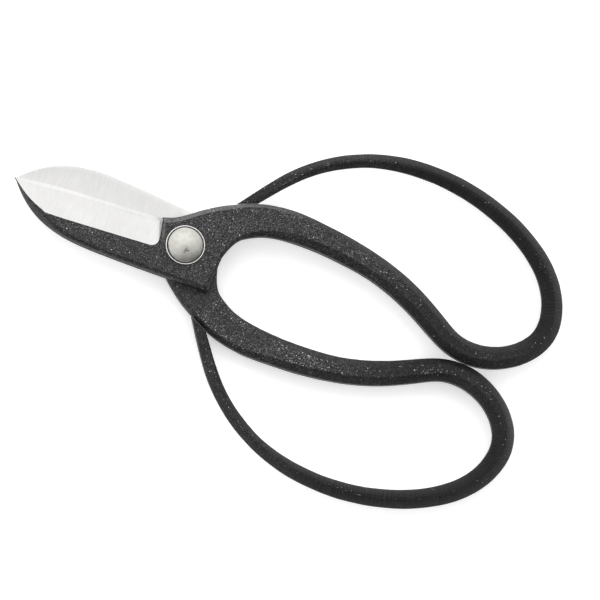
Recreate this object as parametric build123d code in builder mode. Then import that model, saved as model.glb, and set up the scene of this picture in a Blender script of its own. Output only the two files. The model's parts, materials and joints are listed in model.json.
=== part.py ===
"""Floral snips: two forged butterfly-loop halves turning on one domed rivet.

The origin is on the rivet's axis, at the flat face of its peened tail. +Z runs along the
rivet towards its domed head, and +X runs towards the blade tips. The snips are closed.
"""
import os

from build123d import *

os.makedirs("parts", exist_ok=True)

# ---- Driving dimensions, in millimetres -------------------------------------------------
BLADE_REACH = 58.9          # rivet axis to blade tip
BOSS_THICKNESS = 4.8        # each forging at the rivet
BLADE_TIP_THICKNESS = 4.35  # height of the blade's black face if it ran out to the tip
EDGE_BREAK = 1.3            # round along every outer edge of the forging
BEVEL_SLOPE = 0.42          # rise of the ground bevel for each millimetre away from the edge
EDGE_LAND = 0.45            # thickness of the ground bevel at the chord of the cutting edge

WORKING_GAP = 0.10          # between the two inner faces
WASHER_PLAY = 0.05          # between the front washer and the front half
RIVET_RADIUS = 3.0
RUNNING_CLEARANCE = 0.05    # radial, between the rivet and the turning half
WASHER_RADIUS = 6.4
WASHER_THICKNESS = 0.8
DOME_RADIUS = 5.65
DOME_RIM = 0.45
DOME_HEIGHT = 2.3
TAIL_RADIUS = 4.4
TAIL_HEIGHT = 1.35
TAIL_BREAK = 0.6

# Heights above the resting face of the rivet's tail.
MATING_HEIGHT = TAIL_HEIGHT + WASHER_THICKNESS + BOSS_THICKNESS + WORKING_GAP / 2
FRONT_TOP = MATING_HEIGHT + WORKING_GAP / 2 + BOSS_THICKNESS
FRONT_WASHER_BASE = FRONT_TOP + WASHER_PLAY
DOME_BASE = FRONT_WASHER_BASE + WASHER_THICKNESS

# ---- Outline of blade, boss and neck, seen from the front -------------------------------
TIP = (BLADE_REACH, -0.3)
EDGE_MIDDLE = (33.0, -4.0)
EDGE_HEEL = (10.1, -6.2)
BOSS_EDGE = [(5.0, -8.5), (0.0, -12.1), (-5.0, -15.7)]
NECK_OUTER = (-10.5, -19.2)
NECK_INNER = (-16.9, -9.9)
CROTCH = (-14.0, -5.4)
HEEL_INNER = (-12.6, -1.0)
HEEL_CORNER = (-12.3, 10.9)
SPINE = [(6.0, 11.9), (24.0, 12.6), (38.0, 12.0), (48.5, 8.6), (54.5, 4.3)]

# Plan outline of the ground bevel's end wall, which stands across the blade at the boss.
WALL_FOOT = (10.4, -8.0)
WALL_HEAD = (8.3, 1.7)
WALL_BEND = (9.3, 4.0)
WALL_TOP = (11.7, 5.2)

# ---- The bar: shank, loop and tail ------------------------------------------------------
# Its middle line in plan, from inside the boss round the loop to the tail's end.
BAR_ROUTE = [
    (-11.5, -13.0),
    (-18.9, -17.3),
    (-36.5, -19.9),
    (-54.5, -18.8),
    (-69.9, -15.1),
    (-84.5, -8.3),
    (-93.0, -4.5),
    (-102.0, -4.2),
    (-111.2, -8.0),
    (-119.05, -18.2),
    (-117.0, -31.4),
    (-104.9, -43.9),
    (-86.6, -51.7),
    (-66.0, -54.1),
    (-45.0, -49.9),
    (-27.4, -38.4),
    (-14.3, -21.6),
]
# Width of the bar at fractions of its length.
BAR_WIDTHS = [
    (0.00, 11.6),
    (0.04, 10.4),
    (0.12, 9.2),
    (0.20, 8.3),
    (0.27, 8.1),
    (0.33, 7.5),
    (0.40, 7.4),
    (0.48, 7.3),
    (0.53, 6.8),
    (0.65, 6.1),
    (0.75, 5.5),
    (0.84, 4.6),
    (0.93, 4.3),
    (1.00, 3.6),
]
# The tail's end is cut along the shank that it lies against, on this line.
TAIL_CUT = [(-16.9, -22.7), (-10.8, -20.0)]
BAR_SECTIONS = 42
FLAT_END = 0.05             # the shank stays flat, in its own layer, up to here
ROUND_START = 0.17          # from here on the bar is round and centred between the layers
TAIL_RISE_START = 0.86      # from here on the tail climbs to lie beside its own shank
TAIL_RISE = 1.3


def ease(value, start, end):
    """0 before start, 1 after end, and a smooth rise between them."""
    step = min(max((value - start) / (end - start), 0.0), 1.0)
    return step * step * (3 - 2 * step)


def bar_width(fraction):
    """Width of the bar, in even slopes between the stated widths."""
    for (start, first), (end, second) in zip(BAR_WIDTHS, BAR_WIDTHS[1:]):
        if fraction <= end:
            return first + (second - first) * (fraction - start) / (end - start)
    return BAR_WIDTHS[-1][1]


def bar_height(fraction):
    """Thickness of the bar: the boss's, less a hair, then a little under its width."""
    flat = BOSS_THICKNESS - 0.06
    rounded = 0.88 * bar_width(fraction)
    return flat + (rounded - flat) * ease(fraction, FLAT_END, ROUND_START)


def bar_level(fraction):
    """Height of the bar's middle line above the face between the two halves."""
    layer = (WORKING_GAP + BOSS_THICKNESS) / 2
    settled = layer * (1 - ease(fraction, FLAT_END, ROUND_START))
    return settled + TAIL_RISE * ease(fraction, TAIL_RISE_START, 1.0)


def bar_corner(fraction):
    """Corner radius of the section: the edge break at first, then nearly a full round."""
    full = 0.48 * min(bar_width(fraction), bar_height(fraction))
    return EDGE_BREAK + (full - EDGE_BREAK) * ease(fraction, FLAT_END, ROUND_START)


# ---- Cutter for the ground bevel --------------------------------------------------------
edge_direction = (Vector(*TIP) - Vector(*EDGE_HEEL)).normalized()
across_blade = Vector(0, 0, 1).cross(edge_direction)
bevel_plane = Plane(
    origin=Vector(EDGE_HEEL[0], EDGE_HEEL[1], WORKING_GAP / 2 + EDGE_LAND),
    x_dir=edge_direction,
    z_dir=Vector(0, 0, 1) - across_blade * BEVEL_SLOPE,
)

with BuildPart() as bevel_cutter:
    with BuildSketch(Plane.XY):
        with BuildLine():
            Line(WALL_FOOT, WALL_HEAD)
            ThreePointArc(WALL_HEAD, WALL_BEND, WALL_TOP)
            Polyline(WALL_TOP, (16.0, 20.0), (70.0, 20.0), (70.0, -8.0), WALL_FOOT)
        make_face()
    extrude(amount=20)
    split(bisect_by=bevel_plane, keep=Keep.TOP)


# ---- One forging ------------------------------------------------------------------------
def is_rounded_rim(point):
    """True on the plate's upper rim, but not on the ground bevel or across the neck."""
    neck_middle = (Vector(*NECK_OUTER) + Vector(*NECK_INNER)) / 2
    at_neck = (Vector(point.X, point.Y) - neck_middle).length < 1.0
    behind_bevel = point.X < WALL_HEAD[0] - 1.0
    on_spine = point.Y > HEEL_CORNER[1]
    return point.Z > BLADE_TIP_THICKNESS and (behind_bevel or on_spine) and not at_neck


def bar_stations(route):
    """Fraction, width and plane of each section of the bar, the last along the tail's cut."""
    up = Vector(0, 0, 1)
    for number in range(BAR_SECTIONS):
        fraction = number / BAR_SECTIONS
        place = route @ fraction
        along = route % fraction
        middle = Vector(place.X, place.Y, bar_level(fraction))
        plane = Plane(origin=middle, x_dir=up.cross(along), z_dir=along)
        yield fraction, bar_width(fraction), plane
    cut_start, cut_end = Vector(*TAIL_CUT[0]), Vector(*TAIL_CUT[1])
    cut_line = cut_end - cut_start
    middle = (cut_start + cut_end) / 2 + up * bar_level(1.0)
    yield 1.0, cut_line.length, Plane(origin=middle, x_dir=-cut_line, z_dir=up.cross(cut_line))


def forged_half(bore_radius):
    """A half with its inner face half a working gap above Z = 0 and its handle on -Y."""
    top_level = WORKING_GAP / 2 + BOSS_THICKNESS
    taper_run = BLADE_REACH - EDGE_HEEL[0]
    taper_plane = Plane(
        origin=(EDGE_HEEL[0], 0, top_level),
        z_dir=(BOSS_THICKNESS - BLADE_TIP_THICKNESS, 0, taper_run),
    )

    with BuildLine(Plane.XY) as route:
        Spline(*BAR_ROUTE)

    with BuildPart() as half:
        # Blade, boss and neck, as one flat plate that thins towards the tip.
        with BuildSketch(Plane.XY.offset(WORKING_GAP / 2)):
            with BuildLine():
                ThreePointArc(TIP, EDGE_MIDDLE, EDGE_HEEL)
                Spline(EDGE_HEEL, *BOSS_EDGE, NECK_OUTER)
                Line(NECK_OUTER, NECK_INNER)
                Spline(NECK_INNER, CROTCH, HEEL_INNER)
                Line(HEEL_INNER, HEEL_CORNER)
                Spline(HEEL_CORNER, *SPINE, TIP)
            make_face()
        extrude(amount=BOSS_THICKNESS)
        split(bisect_by=taper_plane, keep=Keep.BOTTOM)

        # The ground bevel.
        add(bevel_cutter.part, mode=Mode.SUBTRACT)

        # The round along the spine, the heel, the crotch and the boss's edge.
        rim = half.edges().filter_by(lambda edge: is_rounded_rim(edge @ 0.5))
        fillet(rim, radius=EDGE_BREAK)

        # Shank, loop and tail.
        for fraction, width, plane in bar_stations(route.line):
            with BuildSketch(plane):
                RectangleRounded(width, bar_height(fraction), bar_corner(fraction))
        loft()

        # The rivet's bore.
        with BuildSketch(Plane.XY):
            Circle(bore_radius)
        extrude(amount=top_level + 1, mode=Mode.SUBTRACT)
    return half.part


with BuildPart() as front_half:
    add(Pos(0, 0, MATING_HEIGHT) * forged_half(RIVET_RADIUS + RUNNING_CLEARANCE))

with BuildPart() as back_half:
    add(Pos(0, 0, MATING_HEIGHT) * Rot(180, 0, 0) * forged_half(RIVET_RADIUS))


# ---- Rivet and washers ------------------------------------------------------------------
dome_rise = DOME_HEIGHT - DOME_RIM
dome_sphere_radius = (DOME_RADIUS**2 + dome_rise**2) / (2 * dome_rise)

with BuildPart() as pivot_rivet:
    with BuildSketch(Plane.XZ):
        with BuildLine():
            Polyline(
                (0, DOME_BASE + DOME_HEIGHT),
                (0, 0),
                (TAIL_RADIUS - TAIL_BREAK, 0),
                (TAIL_RADIUS, TAIL_BREAK),
                (TAIL_RADIUS, TAIL_HEIGHT),
                (RIVET_RADIUS, TAIL_HEIGHT),
                (RIVET_RADIUS, DOME_BASE),
                (DOME_RADIUS, DOME_BASE),
                (DOME_RADIUS, DOME_BASE + DOME_RIM),
            )
            RadiusArc(
                (DOME_RADIUS, DOME_BASE + DOME_RIM),
                (0, DOME_BASE + DOME_HEIGHT),
                -dome_sphere_radius,
            )
        make_face()
    revolve(axis=Axis.Z)


def washer(base, bore_radius):
    """A flat washer with broken edges, standing on the given height."""
    with BuildPart() as ring:
        with BuildSketch(Plane.XY.offset(base)):
            Circle(WASHER_RADIUS)
            Circle(bore_radius, mode=Mode.SUBTRACT)
        extrude(amount=WASHER_THICKNESS)
        outer_edges = ring.edges().filter_by(GeomType.CIRCLE).group_by(SortBy.RADIUS)[-1]
        chamfer(outer_edges, length=0.2)
    return ring.part


with BuildPart() as front_washer:
    add(washer(FRONT_WASHER_BASE, RIVET_RADIUS))

with BuildPart() as back_washer:
    add(washer(TAIL_HEIGHT, RIVET_RADIUS))


# ---- Export -----------------------------------------------------------------------------
front_half.part.label = "front_half"
back_half.part.label = "back_half"
pivot_rivet.part.label = "pivot_rivet"
front_washer.part.label = "front_washer"
back_washer.part.label = "back_washer"

export_step(front_half.part, "parts/front_half.step")
export_step(back_half.part, "parts/back_half.step")
export_step(pivot_rivet.part, "parts/pivot_rivet.step")
export_step(front_washer.part, "parts/front_washer.step")
export_step(back_washer.part, "parts/back_washer.step")
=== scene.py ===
"""Looks for the floral snips: two forged halves with ground blades, a turned rivet, two washers.

Shapes are drawn in millimetres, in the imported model's frame, and each mesh is scaled to metres.
A half is drawn as the front one, with its handle on -Y and its inner face just above the level
between the halves. The back half is the same forging turned over about +X.
"""
import json
import math

import bmesh
import bpy
import numpy as np
from mathutils import Matrix, Vector, noise


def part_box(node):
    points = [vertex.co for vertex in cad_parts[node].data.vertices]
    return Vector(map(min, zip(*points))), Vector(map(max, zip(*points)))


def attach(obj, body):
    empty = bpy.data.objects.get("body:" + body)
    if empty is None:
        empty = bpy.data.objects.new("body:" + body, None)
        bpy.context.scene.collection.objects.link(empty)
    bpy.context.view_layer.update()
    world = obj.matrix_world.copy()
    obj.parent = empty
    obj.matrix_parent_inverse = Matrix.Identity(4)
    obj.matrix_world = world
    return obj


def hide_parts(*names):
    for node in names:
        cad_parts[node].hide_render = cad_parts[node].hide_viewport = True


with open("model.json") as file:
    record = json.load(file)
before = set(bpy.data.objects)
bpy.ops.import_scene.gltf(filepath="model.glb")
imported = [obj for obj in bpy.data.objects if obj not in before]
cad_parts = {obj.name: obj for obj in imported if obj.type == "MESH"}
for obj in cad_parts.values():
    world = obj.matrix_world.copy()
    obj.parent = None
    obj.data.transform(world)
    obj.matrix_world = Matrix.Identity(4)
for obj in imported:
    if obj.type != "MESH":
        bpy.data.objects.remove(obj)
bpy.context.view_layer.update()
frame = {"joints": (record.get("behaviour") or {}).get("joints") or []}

MM = 0.001

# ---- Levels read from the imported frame, in millimetres
MATING_LEVEL = frame["joints"][0]["pos_m"][2] / MM
WASHER_LOW, WASHER_HIGH = (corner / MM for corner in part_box("front_washer"))
BACK_WASHER_LOW, BACK_WASHER_HIGH = (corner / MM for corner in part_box("back_washer"))
RIVET_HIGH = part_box("pivot_rivet")[1] / MM
BOSS_TOP = (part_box("front_half")[1] / MM).z - MATING_LEVEL
INNER_FACE = 0.05  # of the front half; this and BOSS_TOP are above the mating level

# ---- Outline of blade, boss and neck
TIP = (58.9, -0.3)
HEEL_CORNER = (-12.3, 10.9)
HEEL_WALL_END = (-12.6, -1.0)
EDGE = [TIP, (46.0, -2.55), (33.0, -4.0), (21.5, -5.1), (10.1, -6.2)]
SPINE = [TIP, (54.5, 4.3), (48.5, 8.6), (38.0, 12.0), (24.0, 12.6), (6.0, 11.9), HEEL_CORNER]
WALL_SPINE_X = 4.7  # where the bevel's end wall, run on, would cross the spine
BOSS_EDGE = [
    (9.85, -6.05), (7.4, -6.95), (4.9, -8.4), (0.0, -12.35),
    (-5.0, -15.95), (-10.5, -19.1), (-15.6, -21.5),
]
CROTCH = [HEEL_WALL_END, (-14.0, -5.4), (-16.45, -9.3), (-20.4, -11.72)]
BLADE_TIP_TOP = 4.40  # height of the black face if it ran out to the tip

# ---- The ground bevel
BEVEL_SLOPE = 0.42
EDGE_LAND = 0.45
MICRO_BEVEL = 1.25  # width of the honed strip along the edge
EDGE_THICKNESS = 0.14
WALL_STEEP = (4.2, 2.0, 10.0)  # the end wall: height, reach along the blade, sharpness
WALL_FILLET = (1.5, 4.2, 3.3)  # the round at its foot, likewise
HOLLOW_DEPTH = 0.16  # hollow grind on the inner face

# ---- Corners of a cross-section
# Each is an inset, a drop and a roundness: 1 is a flat chamfer and 2 a quarter round.
SQUARE_CORNER = (0.0, 0.0, 1.0)
KNIFE_FOOT = (0.02, 0.02, 1.0)  # under the cutting edge
EDGE_BREAK = 1.3  # on the outer face, where the shank starts
CROTCH_BREAK = 0.7  # on the inner face there
BLADE_BREAK = 0.25  # on the inner face, along the spine
SLENDER_RUN = (38, 50)  # x over which the blade's end turns slender
SPINE_INSET = (1.45, 2.1)  # the round along the spine, before that run and after it
SPINE_DROP = (1.45, 3.0)
SPINE_ROUNDNESS = (1.75, 1.2)
# The most that these take of what is there, where the blade narrows to its tip.
STRIP_SHARE = 0.25  # the honed strip, of the width
ROUND_SHARE, ROUND_TIP_SHARE = 0.4, 0.19  # the spine's round, of the width and of the way to the tip
DROP_SHARE, BREAK_SHARE = 0.72, 0.3  # its drop, of the height, and the break below it, of the rest

# ---- The bar: shank, loop and tail
BAR_ROUTE = [
    (-11.5, -13.0), (-18.95, -17.05), (-36.5, -19.9), (-54.5, -18.8), (-69.9, -15.1),
    (-84.5, -8.3), (-93.0, -4.5), (-102.0, -4.2), (-111.2, -8.0), (-119.05, -18.2),
    (-117.0, -31.4), (-104.9, -43.9), (-86.6, -51.7), (-66.0, -54.1), (-45.0, -49.9),
    (-27.4, -38.4), (-14.3, -21.6),
]
BAR_WIDTHS = [
    (0.00, 11.6), (0.04, 10.7), (0.08, 10.1), (0.12, 9.2), (0.20, 8.3),
    (0.27, 8.1), (0.33, 7.5), (0.40, 7.4), (0.48, 7.3), (0.53, 6.8),
    (0.65, 6.1), (0.75, 5.5), (0.84, 4.6), (0.93, 4.3), (1.00, 3.6),
]
# How much the bar's arrises sparkle at fractions of its length: outer face, inner face.
BAR_WEAR = [
    (0.00, 0.30, 0.30), (0.08, 0.30, 0.35), (0.14, 0.35, 0.68), (0.22, 0.15, 0.68),
    (0.25, 0.10, 0.20), (0.28, 0.10, 0.20), (0.31, 0.10, 0.80), (0.37, 0.15, 0.70),
    (0.42, 0.25, 0.20), (0.60, 0.35, 0.15), (0.70, 0.10, 0.25), (0.80, 0.25, 0.15),
    (0.90, 0.45, 0.30), (1.00, 0.30, 0.30),
]
# How smoothly the bar is rubbed: an amount, and the fractions over which it comes in.
BAR_RUBBED = [(0.72, 0.16, 0.28), (0.28, 0.38, 0.52), (-0.45, 0.72, 0.85)]
BAR_START = 0.0105  # the bar takes over from the boss at the neck
BAR_FLATNESS = 0.88  # thickness of the round bar for its width
FLAT_END, ROUND_START = 0.05, 0.17  # flat up to the first fraction, round from the second
FACET_SHARES = (0.30, 0.43)  # the facets' share of the width and thickness, and where
FACETS_WIDEN = (0.30, 0.55)  # along the bar they go from the first to the second
FACETS_SOFTEN = (0.25, 0.50)  # where their arrises soften and the outer ones get flatter
FACETS_CLOSE = (0.90, 0.98)  # where they narrow again, towards the tail's end
FACET_ROUNDNESS = (1.08, 1.14)
OUTER_FLATNESS = 0.84
TAIL_FACET_SHARE = 0.34
MOST_CORNER = 0.485  # of the thickness, where the tail's end closes
TAIL_RISE_START, TAIL_RISE = 0.86, 1.3
TAIL_START = 0.955  # from here the tail's end is cut to lie along its shank
TAIL_LEAD = (0.93, 0.942)  # fractions before it, which give the end its direction
TAIL_CUT = [(-16.93, -22.5), (-10.63, -19.65)]
TAIL_END_ROUND = 0.35

# ---- Surface
ARRIS_WEAR = 0.3  # how much the boss's arrises sparkle
BROAD_WAVE, WAVE, RIPPLE = 9.0, 4.1, 1.7  # lengths of the hammer's unevenness
WAVE_DEPTH, RIPPLE_DEPTH = 0.07, 0.02
FILED_REACH = (7.5, 9.0)  # from the boss's edge, where the filing beside the end wall fades out
WEAR_PATCH = 5.0  # size of the patches in which arrises are worn
WEAR_SPREAD = (1.0, 0.7, 0.4, 0.2)  # from an arris inwards, column by column

# ---- Mesh density
BEVEL_COLUMNS, FACE_COLUMNS, UNDER_COLUMNS = 10, 8, 12  # across a section
CORNER_COLUMNS, SIDE_COLUMNS = 7, 3  # round each corner and up each side
TIP_SHARES = [0.9985, 0.996]  # stations at the very tip, as shares of the blade
SPREAD_START = 0.9945  # below this share they are spread, closest at both ends
SPREAD_STATIONS = 130
SPREAD_END = 4.6  # millimetres from the end wall
WALL_ZONE = 4.4  # from here to the wall they crowd together
WALL_STATIONS = 34
WALL_CROWDING = 2.2
SPINE_STATIONS, HEEL_STATIONS, CROTCH_STATIONS = 40, 26, 24  # round the boss
BAR_STATIONS = 330
TAIL_STATIONS = 24
TAIL_CROWDING = 1.8
BISECTIONS = 40  # halvings that settle a point on a curve


# ---- Curves
def ease(value, start, end):
    """0 before start, 1 after end, and a smooth rise between them."""
    step = min(max((value - start) / (end - start), 0.0), 1.0)
    return step * step * (3 - 2 * step)


def mix(first, second, share):
    return first + (second - first) * share


def smooth_curve(points):
    """A natural cubic curve through the points, as a function of 0 to 1 along its chords."""
    points = np.array(points, float)
    knots = np.concatenate([[0.0], np.cumsum(np.linalg.norm(np.diff(points, axis=0), axis=1))])
    knots /= knots[-1]
    gaps = np.diff(knots)
    count = len(points)
    system, right = np.eye(count), np.zeros_like(points)
    for i in range(1, count - 1):
        system[i, i - 1 : i + 2] = gaps[i - 1], 2 * (gaps[i - 1] + gaps[i]), gaps[i]
        slopes = (points[i + 1] - points[i]) / gaps[i], (points[i] - points[i - 1]) / gaps[i - 1]
        right[i] = 6 * (slopes[0] - slopes[1])
    bend = np.linalg.solve(system, right)

    def at(share):
        i = int(np.clip(np.searchsorted(knots, share, side="right") - 1, 0, count - 2))
        a, b, gap = knots[i + 1] - share, share - knots[i], gaps[i]
        return (
            (bend[i] * a**3 + bend[i + 1] * b**3) / (6 * gap)
            + (points[i] / gap - bend[i] * gap / 6) * a
            + (points[i + 1] / gap - bend[i + 1] * gap / 6) * b
        )

    at.knots = knots
    return at


def bisected(holds, low, high):
    """A narrow range about the place, between low and high, up to which a condition holds."""
    for _ in range(BISECTIONS):
        middle = (low + high) / 2
        if holds(middle):
            low = middle
        else:
            high = middle
    return low, high


def height_at(curve, x):
    """The y of a curve whose x falls steadily, at the given x."""
    low, high = bisected(lambda share: curve(share)[0] > x, 0.0, 1.0)
    return curve((low + high) / 2)[1]


edge_curve = smooth_curve(EDGE)
spine_curve = smooth_curve(SPINE)
boss_curve = smooth_curve(BOSS_EDGE)
crotch_curve = smooth_curve(CROTCH)
bar_curve = smooth_curve(BAR_ROUTE)


# ---- Heights
def face_height(x):
    """Height of the black outer face: level over the boss, falling towards the tip."""
    share = (x - EDGE[-1][0]) / (TIP[0] - EDGE[-1][0])
    return mix(BOSS_TOP, BLADE_TIP_TOP, max(share, 0.0))


def bevel_height(point, from_wall):
    """Height of the ground bevel, with the concave sweep of its end wall."""
    heel, tip = np.array(EDGE[-1]), np.array(TIP)
    along = (tip - heel) / np.linalg.norm(tip - heel)
    across = np.array([-along[1], along[0]])
    climb = BEVEL_SLOPE * float(np.dot(point - heel, across))
    sweep = 0.0
    for height, reach, sharpness in (WALL_STEEP, WALL_FILLET):
        sweep += height * max(1 - from_wall / reach, 0.0) ** sharpness
    return INNER_FACE + EDGE_LAND + climb + sweep


def bar_width(fraction):
    shares, widths = zip(*BAR_WIDTHS)
    return float(np.interp(fraction, shares, widths))


def bar_height(fraction):
    flat = BOSS_TOP - INNER_FACE
    return mix(flat, BAR_FLATNESS * bar_width(fraction), ease(fraction, FLAT_END, ROUND_START))


def bar_level(fraction):
    layer = (BOSS_TOP + INNER_FACE) / 2
    settled = layer * (1 - ease(fraction, FLAT_END, ROUND_START))
    return settled + TAIL_RISE * ease(fraction, TAIL_RISE_START, 1.0)


# ---- Stations: cross-sections of the forging, from the tip to the tail's end
class Station:
    """One cross-section, standing on the plan line from its left rail to its right rail."""

    def __init__(self, left, right):
        self.left = np.array(left, float)
        self.right = np.array(right, float)
        self.width = float(np.linalg.norm(self.right - self.left))
        self.way = (self.right - self.left) / self.width
        self.under = INNER_FACE  # height of the inner face
        self.hollow = 0.0  # how deep it is ground hollow
        self.left_corner = self.right_corner = SQUARE_CORNER
        self.left_foot = self.right_foot = SQUARE_CORNER
        # How much of the top, from the left, belongs to the ground bevel's columns.
        self.split = BEVEL_COLUMNS / (BEVEL_COLUMNS + FACE_COLUMNS)
        self.ground = False  # the bevel and the edge are ground steel
        self.ground_under = False  # the inner face is ground steel
        self.wear = ARRIS_WEAR  # how much the outer face's left arris sparkles
        self.right_wear = 0.04  # and its right arris
        self.under_wear = 0.0  # and both arrises of the inner face
        self.scatter = 0.008  # and the flats between them
        self.rubbed = 0.0  # how smooth the scale is on the flats
        self.smooth = 0.35  # and on the edge breaks and sides
        self.filed = 1.0  # how far the left edge break is filed to bare steel
        self.beside_wall = 0.0  # and the outer face beside the bevel's end wall

    def place(self, across):
        return self.left + self.way * across

    def top(self, across):
        return BOSS_TOP


class BladeStation(Station):
    """A section of the blade, with the ground bevel from its left rail to the black face."""

    def __init__(self, share):
        left_x = mix(EDGE[-1][0], TIP[0], share)
        right_x = mix(WALL_SPINE_X, TIP[0], share)
        left = (left_x, height_at(edge_curve, left_x))
        right = (right_x, height_at(spine_curve, right_x))
        super().__init__(left, right)
        self.from_wall = left_x - EDGE[-1][0]
        self.ground = True
        self.ground_under = True
        self.hollow = HOLLOW_DEPTH * ease(share, 0.0, 0.10) * ease(1 - share, 0.04, 0.20)
        self.hone_edge()
        self.round_spine(left_x)
        self.split = self.find_split(self.left_corner[0], self.width - self.right_corner[0])

    def top(self, across):
        point = self.place(across)
        return min(face_height(point[0]), bevel_height(point, self.from_wall))

    def hone_edge(self):
        """The honed strip: a flat corner that leaves only the edge's thickness."""
        strip = min(MICRO_BEVEL, STRIP_SHARE * self.width)
        drop = self.top(strip) - INNER_FACE - EDGE_THICKNESS
        self.left_corner = (strip, max(drop, 0.01), 1.0)
        self.left_foot = KNIFE_FOOT

    def round_spine(self, x):
        """The round along the spine, and the small break below it."""
        slender = ease(x, *SLENDER_RUN)
        room = min(ROUND_TIP_SHARE * (TIP[0] - x), ROUND_SHARE * self.width)
        inset = min(mix(*SPINE_INSET, slender), room)
        height = self.top(self.width - inset) - INNER_FACE
        drop = min(mix(*SPINE_DROP, slender), DROP_SHARE * height)
        self.right_corner = (inset, drop, mix(*SPINE_ROUNDNESS, slender))
        foot = min(BLADE_BREAK, BREAK_SHARE * (height - drop))
        self.right_foot = (min(foot, 0.1 * self.width), foot, 2.0)

    def find_split(self, first, last):
        """Share of the top, from first to last, at which the bevel meets the black face."""
        least, most = 0.04, 0.97

        def is_bevel(across):
            point = self.place(across)
            return bevel_height(point, self.from_wall) < face_height(point[0])

        meeting, _ = bisected(is_bevel, first, last)
        return min(max((meeting - first) / (last - first), least), most)


class BarStation(Station):
    """A section of the shank, loop or tail."""

    def __init__(self, fraction, left, right):
        super().__init__(left, right)
        height = bar_height(fraction)
        level = bar_level(fraction)
        self.crown = level + height / 2
        self.under = level - height / 2
        self.cut_facets(fraction, min(self.width, bar_width(fraction)), height)
        self.mark_surface(fraction)

    def top(self, across):
        return self.crown

    def cut_facets(self, fraction, width, height):
        """Edge breaks at the boss, which grow into the facets of an eight-sided bar."""
        closing = ease(fraction, *FACETS_CLOSE)
        softening = ease(fraction, *FACETS_SOFTEN)
        roundness = mix(*FACET_ROUNDNESS, softening)
        flatness = mix(1.0, OUTER_FLATNESS, softening)
        facet = mix(*FACET_SHARES, ease(fraction, *FACETS_WIDEN)) - FACET_SHARES[0] * closing

        growth = ease(fraction, 0.02, 0.20)
        inset = mix(EDGE_BREAK, facet * width, growth)
        drop = mix(EDGE_BREAK, facet * height, growth)
        self.left_foot = (inset, drop, roundness)
        closed_inset = mix(inset, TAIL_FACET_SHARE * width, closing)
        closed_drop = mix(drop * flatness, TAIL_FACET_SHARE * height, closing)
        self.left_corner = (closed_inset, closed_drop, roundness)

        # The facets on the crotch's side start sooner.
        crotch_inset = mix(EDGE_BREAK, facet * width, ease(fraction, 0.0, 0.12))
        self.right_corner = (crotch_inset, drop * flatness, roundness)
        growth = ease(fraction, 0.0, 0.18)
        foot = mix(CROTCH_BREAK, inset, growth), mix(CROTCH_BREAK, drop, growth)
        self.right_foot = (*foot, roundness)

    def mark_surface(self, fraction):
        """Scale that is rubbed smoother along the bar, and bare steel on its arrises."""
        for amount, start, end in BAR_RUBBED:
            self.rubbed += amount * ease(fraction, start, end)
        self.smooth = mix(self.smooth, 0.6, ease(fraction, 0.10, 0.30))
        self.filed = 1 - ease(fraction, 0.03, 0.12)
        fractions, outer, inner = zip(*BAR_WEAR)
        self.wear = self.right_wear = float(np.interp(fraction, fractions, outer))
        self.under_wear = float(np.interp(fraction, fractions, inner))
        self.scatter = 0.20 * ease(fraction, 0.06, 0.14)

    def round_end(self, away):
        """Round the section down near the tail's end, by its distance away from it."""
        if away < TAIL_END_ROUND:
            fall = TAIL_END_ROUND * (1 - math.sqrt(1 - (1 - away / TAIL_END_ROUND) ** 2))
            self.crown -= fall
            self.under += fall
            room = MOST_CORNER * (self.crown - self.under)
            for corner in ("left_corner", "right_corner", "left_foot", "right_foot"):
                inset, drop, roundness = getattr(self, corner)
                setattr(self, corner, (inset, min(drop, room), roundness))


def bar_rails(fraction):
    """Left and right points of the bar's outline in plan."""
    step = 1e-4
    start, end = bar_curve(max(fraction - step, 0)), bar_curve(min(fraction + step, 1))
    along = (end - start) / np.linalg.norm(end - start)
    leftward = np.array([-along[1], along[0]])
    half = bar_width(fraction) / 2
    centre = bar_curve(fraction)
    return centre + leftward * half, centre - leftward * half


def blade_stations():
    """From the tip to the wall, closer together at both ends."""
    run = TIP[0] - EDGE[-1][0]
    turns = [math.pi * i / SPREAD_STATIONS for i in range(1, SPREAD_STATIONS)]
    spread = [1 - 0.5 * (1 - math.cos(turn)) for turn in turns]
    shares = TIP_SHARES + [s for s in spread if s < SPREAD_START and s * run > SPREAD_END]
    for i in range(WALL_STATIONS):
        shares.append(WALL_ZONE * (1 - i / WALL_STATIONS) ** WALL_CROWDING / run)
    stations = [BladeStation(share) for share in shares]
    stations[-1].ground = False
    return stations


def spine_point(share):
    """From the wall's line back along the spine to the heel's corner."""
    x = mix(WALL_SPINE_X, HEEL_CORNER[0], share)
    return x, height_at(spine_curve, x)


def heel_point(share):
    """Along the heel's flat wall."""
    return mix(np.array(HEEL_CORNER), np.array(HEEL_WALL_END), share)


def crotch_point(share):
    """Round the crotch to the neck."""
    return crotch_curve(share * crotch_curve.knots[2])


def boss_stations(first_split):
    """From the wall's top round the heel to the neck, fanning about the pivot."""
    corner_share = 0.19  # of the boss's edge, opposite the heel's corner
    wall_share = 0.52  # opposite the end of the heel's flat wall
    neck_share = boss_curve.knots[5]
    runs = [
        (0.0, corner_share, SPINE_STATIONS, spine_point),
        (corner_share, wall_share, HEEL_STATIONS, heel_point),
        (wall_share, neck_share, CROTCH_STATIONS, crotch_point),
    ]
    stations = []
    for start, end, count, right_point in runs:
        for i in range(count):
            share = i / count
            stations.append(Station(boss_curve(mix(start, end, share)), right_point(share)))
    for number, station in enumerate(stations):
        shape_boss_station(station, number, first_split)
    return stations


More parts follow.
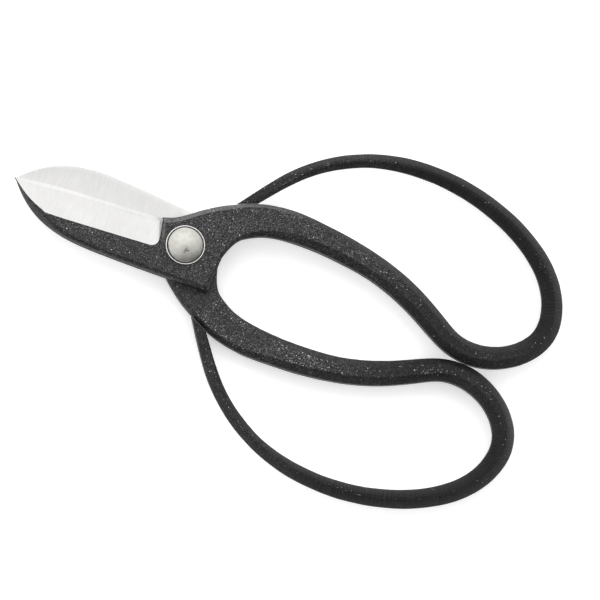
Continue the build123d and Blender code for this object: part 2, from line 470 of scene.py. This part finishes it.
def shape_boss_station(station, number, first_split):
    """Blend a section, by its number, from the blade's shape at the wall to the shank's."""
    station.split = mix(first_split, station.split, ease(number, 0, 14))
    station.ground_under = number < 52
    station.beside_wall = 1 - ease(number, 3, 6)
    station.right_wear = ARRIS_WEAR * ease(number, 44, 60)
    square = mix(1.35, 1.05, ease(number, 40, 60))
    roundness = mix(SPINE_ROUNDNESS[0], 1.15, ease(number, 0, 30))
    station.right_corner = (square, square, roundness)
    station.left_corner = (mix(1.95, 1.6, ease(number, 4, 40)), 1.0, 1.08)
    foot = mix(BLADE_BREAK, 1.25, ease(number, 6, 22))
    station.left_foot = (foot, foot, 1.15)
    foot = mix(BLADE_BREAK, CROTCH_BREAK, ease(number, 50, 66))
    station.right_foot = (foot, foot, 1.3)


def bar_stations():
    """Along the bar, and then over the tail's end, which is cut to lie along its shank."""
    stations = []
    for i in range(BAR_STATIONS):
        fraction = mix(BAR_START, TAIL_START, i / BAR_STATIONS)
        stations.append(BarStation(fraction, *bar_rails(fraction)))
    lead_left, lead_right = zip(*(bar_rails(fraction) for fraction in (*TAIL_LEAD, TAIL_START)))
    left_end = smooth_curve([*lead_left, TAIL_CUT[0]])
    right_end = smooth_curve([*lead_right, TAIL_CUT[1]])
    cut_middle = np.mean(TAIL_CUT, axis=0)
    for i in range(TAIL_STATIONS + 1):
        share = 1 - (1 - i / TAIL_STATIONS) ** TAIL_CROWDING
        left = left_end(mix(left_end.knots[2], 1.0, share))
        right = right_end(mix(right_end.knots[2], 1.0, share))
        station = BarStation(mix(TAIL_START, 1.0, share), left, right)
        station.round_end(float(np.linalg.norm((left + right) / 2 - cut_middle)))
        stations.append(station)
    return stations


# ---- From stations to a mesh
def corner_profile(share, roundness):
    """Inset and drop, 1 to 0 and 0 to 1: a chamfer at roundness 1, a quarter round at 2."""
    angle = share * math.pi / 2
    power = 2 / roundness
    return 1 - math.sin(angle) ** power, 1 - math.cos(angle) ** power


def outline_slant(stations, side):
    """How much further than square the rail's edge break reaches along each station line."""
    least_facing = 0.35
    rail = np.array([getattr(station, side) for station in stations])
    steps = np.diff(rail, axis=0)
    steps /= np.maximum(np.linalg.norm(steps, axis=1), 1e-9)[:, None]
    slants = []
    for i, station in enumerate(stations):
        around = steps[max(i - 1, 0) : i + 1]
        facing = [abs(way[0] * station.way[1] - way[1] * station.way[0]) for way in around]
        slants.append(1 / max(min(facing), least_facing))
    return slants


def corner_points(corner, side, level, ways, steps):
    """Points of one corner, at steps of its turn from face to side; ways are 1 or -1, in and down."""
    inset, drop, roundness = corner
    spots = []
    for step in steps:
        inwards, down = corner_profile(step / CORNER_COLUMNS, roundness)
        spots.append((side + ways[0] * inset * inwards, level + ways[1] * drop * down))
    return spots


def slanted(corner, slant):
    """The corner with its inset reached on a slant."""
    inset, drop, roundness = corner
    return inset * slant, drop, roundness


def side_points(side, start, end):
    """Points up or down a straight side, between the corners at its two ends."""
    return [(side, mix(start, end, i / SIDE_COLUMNS)) for i in range(1, SIDE_COLUMNS)]


def top_points(station, start, end):
    """Points across the top, left to right: the bevel's columns and then the black face's."""
    shares = [station.split * i / BEVEL_COLUMNS for i in range(BEVEL_COLUMNS)]
    shares += [mix(station.split, 1.0, i / FACE_COLUMNS) for i in range(FACE_COLUMNS + 1)]
    places = [mix(start, end, share) for share in shares]
    return [(across, station.top(across)) for across in places]


def under_points(station, start, end):
    """Points back across the inner face, right to left, with its hollow grind."""
    spots = []
    for i in range(1, UNDER_COLUMNS):
        share = i / UNDER_COLUMNS
        lift = station.hollow * (1 - (2 * share - 1) ** 2)
        spots.append((mix(start, end, share), station.under + lift))
    return spots


def section_ring(station, left_slant, right_slant):
    """The section's outline as points (distance across, height), from its top left point on."""
    left, left_foot = slanted(station.left_corner, left_slant), slanted(station.left_foot, left_slant)
    right, right_foot = slanted(station.right_corner, right_slant), slanted(station.right_foot, right_slant)
    width, under, last = station.width, station.under, CORNER_COLUMNS
    top_left, top_right = station.top(left[0]), station.top(width - right[0])
    ring = top_points(station, left[0], width - right[0])
    ring += corner_points(right, width, top_right, (-1, -1), range(1, last + 1))
    ring += side_points(width, ring[-1][1], under + right_foot[1])
    ring += corner_points(right_foot, width, under, (-1, 1), range(last, -1, -1))
    ring += under_points(station, width - right_foot[0], left_foot[0])
    ring += corner_points(left_foot, 0.0, under, (1, 1), range(last + 1))
    ring += side_points(0.0, ring[-1][1], top_left - left[1])
    ring += corner_points(left, 0.0, top_left, (1, -1), range(last, 0, -1))
    return ring


# Columns of the mesh, counted round a section in the order of section_ring.
TOP_POINTS = BEVEL_COLUMNS + FACE_COLUMNS + 1
SIDE_POINTS = CORNER_COLUMNS + (SIDE_COLUMNS - 1) + (CORNER_COLUMNS + 1)
RIGHT_ARRIS = TOP_POINTS - 1
UNDER_FIRST = TOP_POINTS + SIDE_POINTS - 1
UNDER_LAST = UNDER_FIRST + UNDER_COLUMNS
RIGHT_FOOT = UNDER_FIRST - CORNER_COLUMNS
FORGED, GROUND, HONED = 0, 1, 2  # material slots


def outline_points(stations, blade_count):
    """The stations' outlines in space, as one row of points each."""
    most_spine_slant = 1.6
    left_slants = outline_slant(stations, "left")
    right_slants = outline_slant(stations, "right")
    for i in range(blade_count):
        left_slants[i] = 1.0
        right_slants[i] = min(right_slants[i], most_spine_slant)
    rows = []
    for station, left_slant, right_slant in zip(stations, left_slants, right_slants):
        ring = section_ring(station, left_slant, right_slant)
        rows.append([(*station.place(across), height) for across, height in ring])
    return np.array(rows)


def ground_faces(stations, columns):
    """True for each face, by its station and column, that has been ground."""
    ground = np.zeros((len(stations), columns), bool)
    for i, station in enumerate(stations):
        if station.ground:
            ground[i, :BEVEL_COLUMNS] = True
            ground[i, UNDER_LAST:] = True
        if station.ground_under:
            ground[i, RIGHT_FOOT:UNDER_LAST] = True
    return ground


def unground_points(ground):
    """True for each point that no ground face touches."""
    rows, columns = ground.shape
    still = np.zeros((rows + 1, columns), bool)
    for near in (ground, np.roll(ground, 1, axis=1)):
        still[:-1] |= near
        still[1:] |= near
    return ~still[:rows]


def hammered(points, normals, taken):
    """The points with shallow unevenness, pressed inwards, wherever the hammer's marks are taken."""
    for i, j in zip(*np.nonzero(taken)):
        spot = Vector(points[i, j])
        slow = noise.noise(spot / BROAD_WAVE) + 0.5 * noise.noise(spot / WAVE + Vector((7, 3, 1)))
        fine = noise.noise(spot / RIPPLE + Vector((2, 9, 4)))
        depth = WAVE_DEPTH * (slow - 1.0) + RIPPLE_DEPTH * (fine - 1.0)
        points[i, j] += normals[i, j] * depth
    return points


def grid_normals(points):
    along = np.gradient(points, axis=0)
    around = np.roll(points, -1, axis=1) - np.roll(points, 1, axis=1)
    normals = np.cross(around, along)
    return normals / np.maximum(np.linalg.norm(normals, axis=2), 1e-12)[:, :, None]


def forging_faces(ground, blade_count):
    """Quads between the outlines and a cap on each end, with a material slot for each face."""
    rows, columns = ground.shape
    honed_columns = columns - CORNER_COLUMNS
    honed_rows = blade_count - 4
    faces, slots = [], []
    for i in range(rows - 1):
        near, far = i * columns, (i + 1) * columns
        for j in range(columns):
            k = (j + 1) % columns
            faces.append((near + j, near + k, far + k, far + j))
            bare = HONED if i < honed_rows and j >= honed_columns else GROUND
            slots.append(bare if ground[i, j] else FORGED)
    faces.append(tuple(reversed(range(columns))))
    slots.append(GROUND)
    faces.append(tuple((rows - 1) * columns + j for j in range(columns)))
    slots.append(FORGED)
    return faces, slots


def wear_marks(stations, points):
    """How much bare steel sparkles at each point: most on the arrises, in patches."""
    wear = np.zeros(points.shape[:2])
    for i, station in enumerate(stations):
        wear[i, :TOP_POINTS] = station.scatter * (station.wear if station.under_wear else 1)
        wear[i, UNDER_FIRST : UNDER_LAST + 1] = station.scatter * station.under_wear
        for away, share in enumerate(WEAR_SPREAD):
            arrises = [
                (RIGHT_ARRIS - away, station.right_wear),
                (away, 0.0 if station.ground else station.wear),
                (UNDER_FIRST + away, station.under_wear),
                (UNDER_LAST - away, station.under_wear),
            ]
            for column, most in arrises:
                patch = 0.55 + 1.2 * noise.noise(Vector(points[i, column]) / WEAR_PATCH)
                wear[i, column] = max(most * share * patch, wear[i, column])
    return wear


def surface_marks(stations, points):
    """What the forged material reads: worn, rubbed, filed and dull places, metres along it."""
    rows, columns = points.shape[:2]
    rubbed, filed, dull = (np.zeros((rows, columns)) for _ in range(3))
    edge_breaks = np.zeros(columns, bool)
    edge_breaks[RIGHT_ARRIS + 1 : UNDER_FIRST] = True
    edge_breaks[UNDER_LAST + 1 :] = True
    for wall in (RIGHT_ARRIS + CORNER_COLUMNS, UNDER_LAST + CORNER_COLUMNS):
        dull[:, wall : wall + SIDE_COLUMNS + 1] = 1.0
    for i, station in enumerate(stations):
        rubbed[i] = station.rubbed
        rubbed[i, edge_breaks] = max(station.rubbed, station.smooth)
        filed[i, columns - CORNER_COLUMNS + 1 :] = station.filed
        across = np.linalg.norm(points[i, :TOP_POINTS, :2] - station.left, axis=1)
        filed[i, :TOP_POINTS] = station.beside_wall * np.interp(across, FILED_REACH, (1.0, 0.0))
        rubbed[i, :TOP_POINTS] = np.maximum(rubbed[i, :TOP_POINTS], filed[i, :TOP_POINTS])
    steps = np.linalg.norm(np.diff(points.mean(axis=1), axis=0), axis=1)
    along = np.concatenate([[0.0], np.cumsum(steps)]) * MM
    along = np.repeat(along[:, None], columns, axis=1)
    wear = wear_marks(stations, points)
    marks = {"wear": wear, "rubbed": rubbed, "filed": filed, "dull": dull, "along": along}
    return {name: values.reshape(-1) for name, values in marks.items()}


def forging_shape():
    """The front half's vertices, faces, material slots and marks, in millimetres."""
    blade = blade_stations()
    stations = blade + boss_stations(blade[-1].split) + bar_stations()
    points = outline_points(stations, len(blade))
    ground = ground_faces(stations, points.shape[1])
    points = hammered(points, grid_normals(points), unground_points(ground))
    vertices = [tuple(point) for point in points.reshape(-1, 3)]
    faces, slots = forging_faces(ground, len(blade))
    return vertices, faces, slots, surface_marks(stations, points)


# ---- Materials
class Nodes:
    """A node tree, with short calls that add nodes and give back their outputs."""

    def __init__(self, owner, shader, place):
        owner.use_nodes = True
        self.owner = owner
        self.tree = owner.node_tree
        self.shader = self.tree.nodes[shader]
        self.place = self.add("ShaderNodeTexCoord").outputs[place]

    def add(self, kind, inputs=None, **settings):
        node = self.tree.nodes.new(kind)
        for key, value in settings.items():
            setattr(node, key, value)
        for key, value in (inputs or {}).items():
            self.feed(node.inputs[key], value)
        return node

    def feed(self, socket, value):
        if isinstance(value, bpy.types.NodeSocket):
            self.tree.links.new(value, socket)
        else:
            socket.default_value = value

    def wire(self, **values):
        """Link or set the shader's own sockets, named with _ for each space."""
        for name, value in values.items():
            self.feed(self.shader.inputs[name.replace("_", " ")], value)

    def stretched(self, scale, turn=0.0):
        inputs = {"Vector": self.place, "Rotation": (0, 0, turn), "Scale": scale}
        return self.add("ShaderNodeMapping", inputs).outputs["Vector"]

    def noise(self, scale, detail=3, vector=None):
        inputs = {"Vector": vector or self.place, "Scale": scale, "Detail": detail}
        return self.add("ShaderNodeTexNoise", inputs).outputs["Fac"]

    def line_noise(self, place, detail):
        """Noise that changes along one direction only."""
        inputs = {"W": place, "Detail": detail}
        return self.add("ShaderNodeTexNoise", inputs, noise_dimensions="1D").outputs["Fac"]

    def cells(self, scale):
        """Distance from each cell's heart, and two random values per cell."""
        node = self.add("ShaderNodeTexVoronoi", {"Vector": self.place, "Scale": scale})
        chance = self.add("ShaderNodeSeparateColor", {"Color": node.outputs["Color"]})
        return node.outputs["Distance"], chance.outputs[0], chance.outputs[1]

    def mark(self, name):
        return self.add("ShaderNodeAttribute", attribute_name=name).outputs["Fac"]

    def math(self, operation, first, second):
        return self.add("ShaderNodeMath", {0: first, 1: second}, operation=operation).outputs[0]

    def times(self, first, second):
        return self.math("MULTIPLY", first, second)

    def weighted(self, first, first_share, second, second_share):
        """first and second, each times its own share, added up."""
        return self.math("ADD", self.times(first, first_share), self.times(second, second_share))

    def blend(self, share, first, second):
        """first at share 0, second at share 1, for numbers."""
        return self.add("ShaderNodeMix", {0: share, 2: first, 3: second}).outputs[0]

    def blend_color(self, share, first, second):
        inputs = {0: share, 6: first, 7: second}
        return self.add("ShaderNodeMix", inputs, data_type="RGBA").outputs[2]

    def ramp(self, source, *stops):
        node = self.add("ShaderNodeValToRGB", {"Fac": source})
        elements = node.color_ramp.elements
        while len(elements) < len(stops):
            elements.new(0.5)
        for element, (position, color) in zip(elements, stops):
            element.position = position
            element.color = (*color, 1)
        return node.outputs["Color"]

    def bump(self, height, strength, depth):
        inputs = {"Height": height, "Strength": strength, "Distance": depth}
        return self.add("ShaderNodeBump", inputs).outputs["Normal"]


def material_nodes(name):
    return Nodes(bpy.data.materials.new(name), "Principled BSDF", "Object")


def grey(value):
    return (value, value, value)


def forged_material():
    """Black forge scale: grainy where it was left alone, rubbed to satin along the bar."""
    nodes = material_nodes("black_forge_scale")
    rubbed, filed = nodes.mark("rubbed"), nodes.mark("filed")
    _, grit, gloss = nodes.cells(5000)
    grain = nodes.noise(5400, 3)
    cloud = nodes.noise(140, 4)
    tone = nodes.weighted(grit, 0.8, cloud, 0.2)
    coarse_top = (0.92, (0.175, 0.175, 0.185))
    coarse = nodes.ramp(tone, (0.38, grey(0.002)), (0.70, (0.007, 0.007, 0.008)), coarse_top)
    satin = nodes.ramp(tone, (0.28, grey(0.001)), (0.72, grey(0.007)))
    filed_steel = nodes.ramp(tone, (0.20, grey(0.075)), (0.90, grey(0.20)))
    color = nodes.blend_color(rubbed, coarse, satin)
    color = nodes.blend_color(filed, color, filed_steel)

    # Specks of bare steel, thick along worn arrises and rare elsewhere.
    rare = nodes.blend(rubbed, 0.004, 0.001)
    allowed = nodes.math("ADD", nodes.times(nodes.mark("wear"), 0.32), rare)
    heart, chance, shine = nodes.cells(3500)
    bare = nodes.math("GREATER_THAN", chance, nodes.math("SUBTRACT", 1.0, allowed))
    bare = nodes.times(bare, nodes.math("LESS_THAN", heart, 0.5))
    shine = nodes.times(shine, nodes.blend(rubbed, 1.0, 0.55))
    bare_steel = nodes.ramp(shine, (0.0, grey(0.10)), (1.0, grey(0.85)))
    color = nodes.blend_color(bare, color, bare_steel)
    metal = nodes.times(nodes.math("MAXIMUM", bare, filed), 0.9)

    # Ribs left across the bar as it was drawn out.
    ribs = nodes.line_noise(nodes.times(nodes.mark("along"), 1100.0), 2)
    rib_height = nodes.times(ribs, nodes.times(rubbed, 9.0))
    height = nodes.math("ADD", nodes.weighted(grain, 0.8, chance, 0.3), rib_height)
    rib_gloss = nodes.ramp(ribs, (0.32, grey(0.09)), (0.68, grey(0.38)))
    sheen = nodes.blend(rubbed, nodes.blend(gloss, 0.17, 0.70), rib_gloss)
    nodes.wire(
        Base_Color=color,
        Metallic=metal,
        Roughness=nodes.blend(rubbed, nodes.blend(grain, 0.40, 0.66), nodes.blend(grain, 0.20, 0.38)),
        Specular_IOR_Level=nodes.blend(nodes.mark("dull"), sheen, 0.14),
        Normal=nodes.bump(height, 0.5, 0.00011),
    )
    return nodes.owner


def ground_material(name, dull, bright, rough):
    """Bright steel from a fine wheel, with its scratches running across the blade."""
    nodes = material_nodes(name)
    scratches = nodes.noise(1.0, 5, nodes.stretched((5200, 240, 240), turn=0.12))
    haze = nodes.noise(1.0, 5, nodes.stretched((60, 110, 110)))
    tone = nodes.weighted(scratches, 0.65, haze, 0.35)
    nodes.wire(
        Base_Color=nodes.ramp(tone, (0.32, dull), (0.68, bright)),
        Metallic=1.0,
        Roughness=nodes.blend(tone, rough - 0.09, rough + 0.09),
        Normal=nodes.bump(scratches, 0.3, 0.00003),
    )
    return nodes.owner


def turned_material(name, rings, rough, tones, pit=None, groove=None):
    """Steel turned on a lathe: fine rings about its axis, perhaps a rusty pit or painted shade in a groove.
    """
    nodes = material_nodes(name)
    flat = nodes.add("ShaderNodeVectorMath", {0: nodes.place, 1: (1, 1, 0)}, operation="MULTIPLY")
    length = nodes.add("ShaderNodeVectorMath", {0: flat.outputs[0]}, operation="LENGTH")
    radius = length.outputs["Value"]
    ring = nodes.line_noise(nodes.weighted(radius, rings, nodes.noise(420), 0.4), 3)
    tone = nodes.weighted(ring, 0.45, nodes.noise(700, 5), 0.55)
    color = nodes.ramp(tone, (0.32, tones[0]), (0.68, tones[1]))
    height = ring
    if pit:
        color, height = rusty_pit(nodes, pit, color, ring)
    # Painted shade in the washer's groove, when its radii are given.
    if groove:
        color = painted_groove_shade(nodes, groove, radius, color)
    nodes.wire(
        Base_Color=color,
        Metallic=1.0,
        Roughness=nodes.blend(tone, rough - 0.08, rough + 0.1),
        Normal=nodes.bump(height, 0.35, 0.00003),
    )
    return nodes.owner


def rusty_pit(nodes, pit, color, height):
    """The color and height with a ragged dark pit at a place, in a wider stain."""
    away = nodes.add("ShaderNodeVectorMath", {0: nodes.place, 1: pit}, operation="DISTANCE")
    reach = nodes.times(away.outputs["Value"], 1000.0)
    ragged = nodes.math("ADD", reach, nodes.times(nodes.noise(1500, 4), 4.2))
    ragged = nodes.times(ragged, 0.25)
    core = nodes.ramp(ragged, (0.56, grey(1.0)), (0.74, grey(0.0)))
    stain = nodes.ramp(ragged, (0.60, grey(1.0)), (1.0, grey(0.0)))
    color = nodes.blend_color(nodes.times(stain, 0.35), color, (0.20, 0.19, 0.17, 1))
    color = nodes.blend_color(nodes.times(core, 0.85), color, (0.07, 0.065, 0.055, 1))
    return color, nodes.math("SUBTRACT", height, nodes.times(core, 3.0))


def painted_groove_shade(nodes, groove, radius, color):
    """The color with painted shade between the groove's two radii, in millimetres, where the sunk groove
    lies in shade.
    """
    # Painted shade: a near-black ring stands in for the shade in the washer's groove.
    outside = nodes.math("GREATER_THAN", radius, groove[0] * MM)
    groove_shade = nodes.times(outside, nodes.math("LESS_THAN", radius, groove[1] * MM))
    return nodes.blend_color(groove_shade, color, (0.015, 0.014, 0.013, 1))


# ---- Pieces
SHANK_RADIUS = 3.0
RUNNING_CLEARANCE = 0.05  # radial, in the bore of the half that turns
BORE_STEPS, TURNED_STEPS, ARC_STEPS, DOME_STEPS = 96, 128, 8, 28
DOME_RIM = 0.35  # height of the dome's rim above the washer
DOME_ARC = 0.93  # how much of a quarter circle's reach the dome's arc takes
DOME_CONE = 0.38  # share of the dome's fall that a steadier slope has
RIM_BREAK, RIM_FALL, FOOT_BREAK, FOOT_INSET = 0.06, 0.12, 0.03, 0.35  # round the dome's edge
TAIL_RADIUS = 4.4
TAIL_ROUND = 0.62
TAIL_SEAT_BREAK = 0.15
WASHER_SINK = 0.32  # depth of the washer's groove
WASHER_GROOVE = (5.2, 5.97)  # radii between which the groove's colour is painted with shade
WASHER_BREAK = 0.12
BEAD_RADIUS = 0.2  # of the raised bead round the washer


def add_object(name, data):
    thing = bpy.data.objects.new(name, data)
    bpy.context.scene.collection.objects.link(thing)
    return thing


def finish_piece(name, mesh, materials, sharp_degrees):
    for material in materials:
        mesh.materials.append(material)
    mesh.shade_smooth()
    mesh.set_sharp_from_angle(angle=math.radians(sharp_degrees))
    return add_object(name, mesh)


def bore(piece, radius):
    """Cut the rivet's bore, which the washers cover."""
    cutter_mesh = bpy.data.meshes.new("bore_cutter")
    shape = bmesh.new()
    size = {"radius1": radius * MM, "radius2": radius * MM, "depth": 0.05}
    bmesh.ops.create_cone(shape, cap_ends=True, segments=BORE_STEPS, **size)
    shape.to_mesh(cutter_mesh)
    shape.free()
    cutter = add_object("bore_cutter", cutter_mesh)
    cut = piece.modifiers.new("bore", "BOOLEAN")
    cut.operation = "DIFFERENCE"
    cut.solver = "EXACT"
    cut.object = cutter
    bpy.context.view_layer.update()
    evaluated = piece.evaluated_get(bpy.context.evaluated_depsgraph_get())
    bored = bpy.data.meshes.new_from_object(evaluated)
    piece.modifiers.clear()
    piece.data = bored
    bpy.data.objects.remove(cutter)


def forged_half(name, turn, bore_radius, materials, shape):
    vertices, faces, face_materials, marks = shape
    place = Matrix.Translation((0, 0, MATING_LEVEL * MM)) @ turn @ Matrix.Scale(MM, 4)
    mesh = bpy.data.meshes.new(name)
    mesh.from_pydata(vertices, [], faces)
    mesh.transform(place)
    mesh.polygons.foreach_set("material_index", face_materials)
    for mark, values in marks.items():
        mesh.attributes.new(mark, "FLOAT", "POINT").data.foreach_set("value", values)
    piece = finish_piece(name, mesh, materials, sharp_degrees=24)
    bore(piece, bore_radius)
    return piece


def revolved(name, profile):
    """A closed solid of revolution about the rivet's axis, from (radius, height) points."""
    shape = bmesh.new()
    rings = []
    for radius, height in profile:
        count = TURNED_STEPS if radius > 0 else 1
        ring = []
        for i in range(count):
            angle = 2 * math.pi * i / TURNED_STEPS
            spot = (radius * MM * math.cos(angle), radius * MM * math.sin(angle), height * MM)
            ring.append(shape.verts.new(spot))
        rings.append(ring)
    pairs = list(zip(rings, rings[1:]))
    if len(rings[0]) > 1:
        pairs.append((rings[-1], rings[0]))
    for first, second in pairs:
        for i in range(TURNED_STEPS):
            j = i + 1
            corners = [(first, i), (first, j), (second, j), (second, i)]
            unique = list(dict.fromkeys(ring[k % len(ring)] for ring, k in corners))
            if len(unique) > 2:
                shape.faces.new(unique)
    bmesh.ops.recalc_face_normals(shape, faces=shape.faces)
    mesh = bpy.data.meshes.new(name)
    shape.to_mesh(mesh)
    shape.free()
    return mesh


def arc_points(centre, radius, start, end):
    """Points on an arc, from one angle to another in degrees."""
    angles = [math.radians(mix(start, end, i / ARC_STEPS)) for i in range(ARC_STEPS + 1)]
    return [(centre[0] + radius * math.cos(a), centre[1] + radius * math.sin(a)) for a in angles]


def dome_profile():
    """From the dome's crown down over its rim to its foot on the washer."""
    radius, crown, foot = RIVET_HIGH.x, RIVET_HIGH.z, WASHER_HIGH.z
    rim = foot + DOME_RIM
    whole_fall = 1 - math.sqrt(1 - DOME_ARC**2)
    profile = [(0.0, crown)]
    for i in range(1, DOME_STEPS + 1):
        share = i / DOME_STEPS
        fall = (1 - math.sqrt(1 - (DOME_ARC * share) ** 2)) / whole_fall
        fall = (1 - DOME_CONE) * fall + DOME_CONE * share**1.6
        profile.append((radius * share, crown - (crown - rim) * fall))
    profile[-1] = (radius - RIM_BREAK, profile[-1][1])
    profile += [(radius, rim - RIM_FALL), (radius - FOOT_BREAK, foot + RIM_FALL)]
    return profile + [(radius - FOOT_INSET, foot)]


def rivet_profile():
    """Dome, shank and peened tail, from the crown of the dome down to the resting face."""
    tail_top = BACK_WASHER_LOW.z
    profile = dome_profile()
    profile += [(SHANK_RADIUS, WASHER_HIGH.z), (SHANK_RADIUS, tail_top)]
    profile += [(TAIL_RADIUS - TAIL_SEAT_BREAK, tail_top)]
    profile += arc_points((TAIL_RADIUS - TAIL_ROUND, TAIL_ROUND), TAIL_ROUND, 0, -90)
    return profile + [(2.4, 0.0), (1.2, 0.0), (0.0, 0.0)]


def washer_profile(low, high, bead_up):
    """A washer with a raised outer bead and a sunk groove inside it, facing up or down."""
    outer, groove, sunk = WASHER_HIGH.x, WASHER_GROOVE[0], high - WASHER_SINK
    profile = [(SHANK_RADIUS, low), (SHANK_RADIUS, high), (groove, high), (groove + 0.1, sunk)]
    profile += [(outer - 0.48, sunk), (outer - 0.44, high - 0.12)]
    profile += arc_points((outer - 0.22, high - BEAD_RADIUS), BEAD_RADIUS, 160, 0)
    profile += [(outer, high - 0.3), (outer, low + WASHER_BREAK), (outer - WASHER_BREAK, low)]
    if bead_up:
        return profile
    return [(radius, low + high - height) for radius, height in profile]


def beaded_washer(name, low, high, bead_up, material):
    mesh = revolved(name, washer_profile(low, high, bead_up))
    return finish_piece(name, mesh, [material], sharp_degrees=40)


# ---- Camera, light and floor
CAMERA_TARGET = (-0.04122, 0.00117)  # in plan, in metres
CAMERA_DISTANCE = 1.6  # in metres
CAMERA_LEAN = 0.206770  # radians from the pivot's axis
CAMERA_SIDE = 1.229476  # radians from +X to the side that it leans to
VIEW_UP_TURN = -1.194635  # radians from +X to what is up in its view
LENS = 297.46
# Brightness of the surround by direction: -1 faces away from the bright side, 1 faces it.
SKY = [(-0.5, 0.14), (-0.1, 0.53), (0.18, 0.79), (0.45, 0.86), (0.97, 1.0)]
SKY_STRENGTH = 1.50
BRIGHT_SIDE_TURN = 16  # degrees from the top of the view towards its left
BRIGHT_SIDE_LEVEL, BRIGHT_SIDE_RISE = 0.95, 0.3  # how far it faces sideways and up
SOFTBOX_TARGET = (-0.04, 0, 0)
SOFTBOX_SIZE = (1.2, 0.8)  # in metres
SOFTBOX_PLACE = (0.0, 0.62, 0.85)  # metres to the view's right, to its top, and up
SOFTBOX_POWER = 1.2
FLOOR_REACH = 3.0
FLOOR_GREY, FLOOR_GLOW = 0.97, 0.35


def make_camera():
    """Looks down on the closed snips from 12 degrees off the pivot's axis."""
    data = bpy.data.cameras.new("camera")
    camera = add_object("camera", data)
    level = math.sin(CAMERA_LEAN)
    across = level * math.cos(CAMERA_SIDE), level * math.sin(CAMERA_SIDE)
    back = Vector((*across, math.cos(CAMERA_LEAN)))
    up = Vector((math.cos(VIEW_UP_TURN), math.sin(VIEW_UP_TURN), 0))
    right = up.cross(back).normalized()
    up = back.cross(right)
    target = Vector((*CAMERA_TARGET, MATING_LEVEL * MM))
    turn = Matrix((right, up, back)).transposed().to_4x4()
    camera.matrix_world = Matrix.Translation(target + back * CAMERA_DISTANCE) @ turn
    data.lens = LENS
    data.sensor_width = 36.0
    data.clip_start, data.clip_end = 0.1, 20
    bpy.context.scene.camera = camera
    return up, right


def make_surround(view_up, view_right):
    """A studio surround, bright towards the top of the view and a little overhead."""
    world = bpy.data.worlds.new("studio")
    bpy.context.scene.world = world
    nodes = Nodes(world, "Background", "Generated")
    turn = math.radians(BRIGHT_SIDE_TURN)
    across = view_up * math.cos(turn) - view_right * math.sin(turn)
    bright_side = across * BRIGHT_SIDE_LEVEL + Vector((0, 0, BRIGHT_SIDE_RISE))
    facing = nodes.add("ShaderNodeVectorMath", {0: nodes.place, 1: bright_side}, operation="DOT_PRODUCT")
    facing = facing.outputs["Value"]
    share = nodes.add("ShaderNodeMapRange", {"Value": facing, "From Min": -1.0}).outputs["Result"]
    stops = [((facing_share + 1) / 2, grey(brightness)) for facing_share, brightness in SKY]
    nodes.wire(Color=nodes.ramp(share, *stops), Strength=SKY_STRENGTH)


def make_softbox(view_up, view_right):
    """One soft light above the top of the view."""
    lamp = bpy.data.lights.new("softbox", "AREA")
    lamp.shape = "RECTANGLE"
    lamp.size, lamp.size_y = SOFTBOX_SIZE
    lamp.energy = SOFTBOX_POWER
    softbox = add_object("softbox", lamp)
    middle = Vector(SOFTBOX_TARGET)
    across, up, height = SOFTBOX_PLACE
    softbox.location = middle + view_right * across + view_up * up + Vector((0, 0, height))
    softbox.rotation_euler = (middle - softbox.location).to_track_quat("-Z", "Y").to_euler()


def make_floor():
    """A pale floor that glows a little, so that shadows on it stay faint."""
    mesh = bpy.data.meshes.new("floor")
    corners = [(x * FLOOR_REACH, y * FLOOR_REACH, 0) for x, y in ((-1, -1), (1, -1), (1, 1), (-1, 1))]
    mesh.from_pydata(corners, [], [(0, 1, 2, 3)])
    floor = add_object("floor", mesh)
    nodes = material_nodes("pale_floor")
    nodes.wire(
        Base_Color=(*grey(FLOOR_GREY), 1),
        Roughness=0.9,
        Specular_IOR_Level=0.1,
        Emission_Color=(*grey(1), 1),
        Emission_Strength=FLOOR_GLOW,
    )
    mesh.materials.append(nodes.owner)


view_up, view_right = make_camera()
make_surround(view_up, view_right)
make_softbox(view_up, view_right)
make_floor()
bpy.context.scene.view_settings.view_transform = "Standard"

# ---- The snips
half_materials = [
    forged_material(),
    ground_material("ground_steel", (0.510, 0.506, 0.500), (0.625, 0.622, 0.616), 0.37),
    ground_material("honed_steel", (0.560, 0.557, 0.551), (0.675, 0.673, 0.667), 0.32),
]
half_shape = forging_shape()
upright, turned_over = Matrix.Identity(4), Matrix.Rotation(math.pi, 4, "X")
turning_bore = SHANK_RADIUS + RUNNING_CLEARANCE
front = forged_half("front_forging", upright, turning_bore, half_materials, half_shape)
back = forged_half("back_forging", turned_over, SHANK_RADIUS, half_materials, half_shape)

# The pit is on the dome, 2.1 mm from its crown and 0.3 mm below it.
pit_place = view_up * -0.0021
pit = (pit_place.x, pit_place.y, RIVET_HIGH.z * MM - 0.0003)
rivet_tones = (0.42, 0.415, 0.38), (0.57, 0.565, 0.525)
rivet_steel = turned_material("turned_rivet", 5200, 0.36, rivet_tones, pit)
rivet_mesh = revolved("domed_rivet", rivet_profile())
rivet = finish_piece("domed_rivet", rivet_mesh, [rivet_steel], sharp_degrees=35)
washer_tones = (0.62, 0.615, 0.60), (0.80, 0.795, 0.78)
# The washer's groove gets painted shade, a near-black ring.
washer_steel = turned_material("bright_washer", 6500, 0.22, washer_tones, groove=WASHER_GROOVE)
front_levels = WASHER_LOW.z, WASHER_HIGH.z
back_levels = BACK_WASHER_LOW.z, BACK_WASHER_HIGH.z
front_ring = beaded_washer("front_beaded_washer", *front_levels, True, washer_steel)
back_ring = beaded_washer("back_beaded_washer", *back_levels, False, washer_steel)

for piece, body, node, slot in (
    (front, "front", "front_half", "forged_steel"),
    (back, "back", "back_half", "forged_steel"),
    (rivet, "back", "pivot_rivet", "rivet_steel"),
    (front_ring, "back", "front_washer", "washer_steel"),
    (back_ring, "back", "back_washer", "washer_steel"),
):
    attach(piece, body)
    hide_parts(node)

bpy.context.view_layer.update()
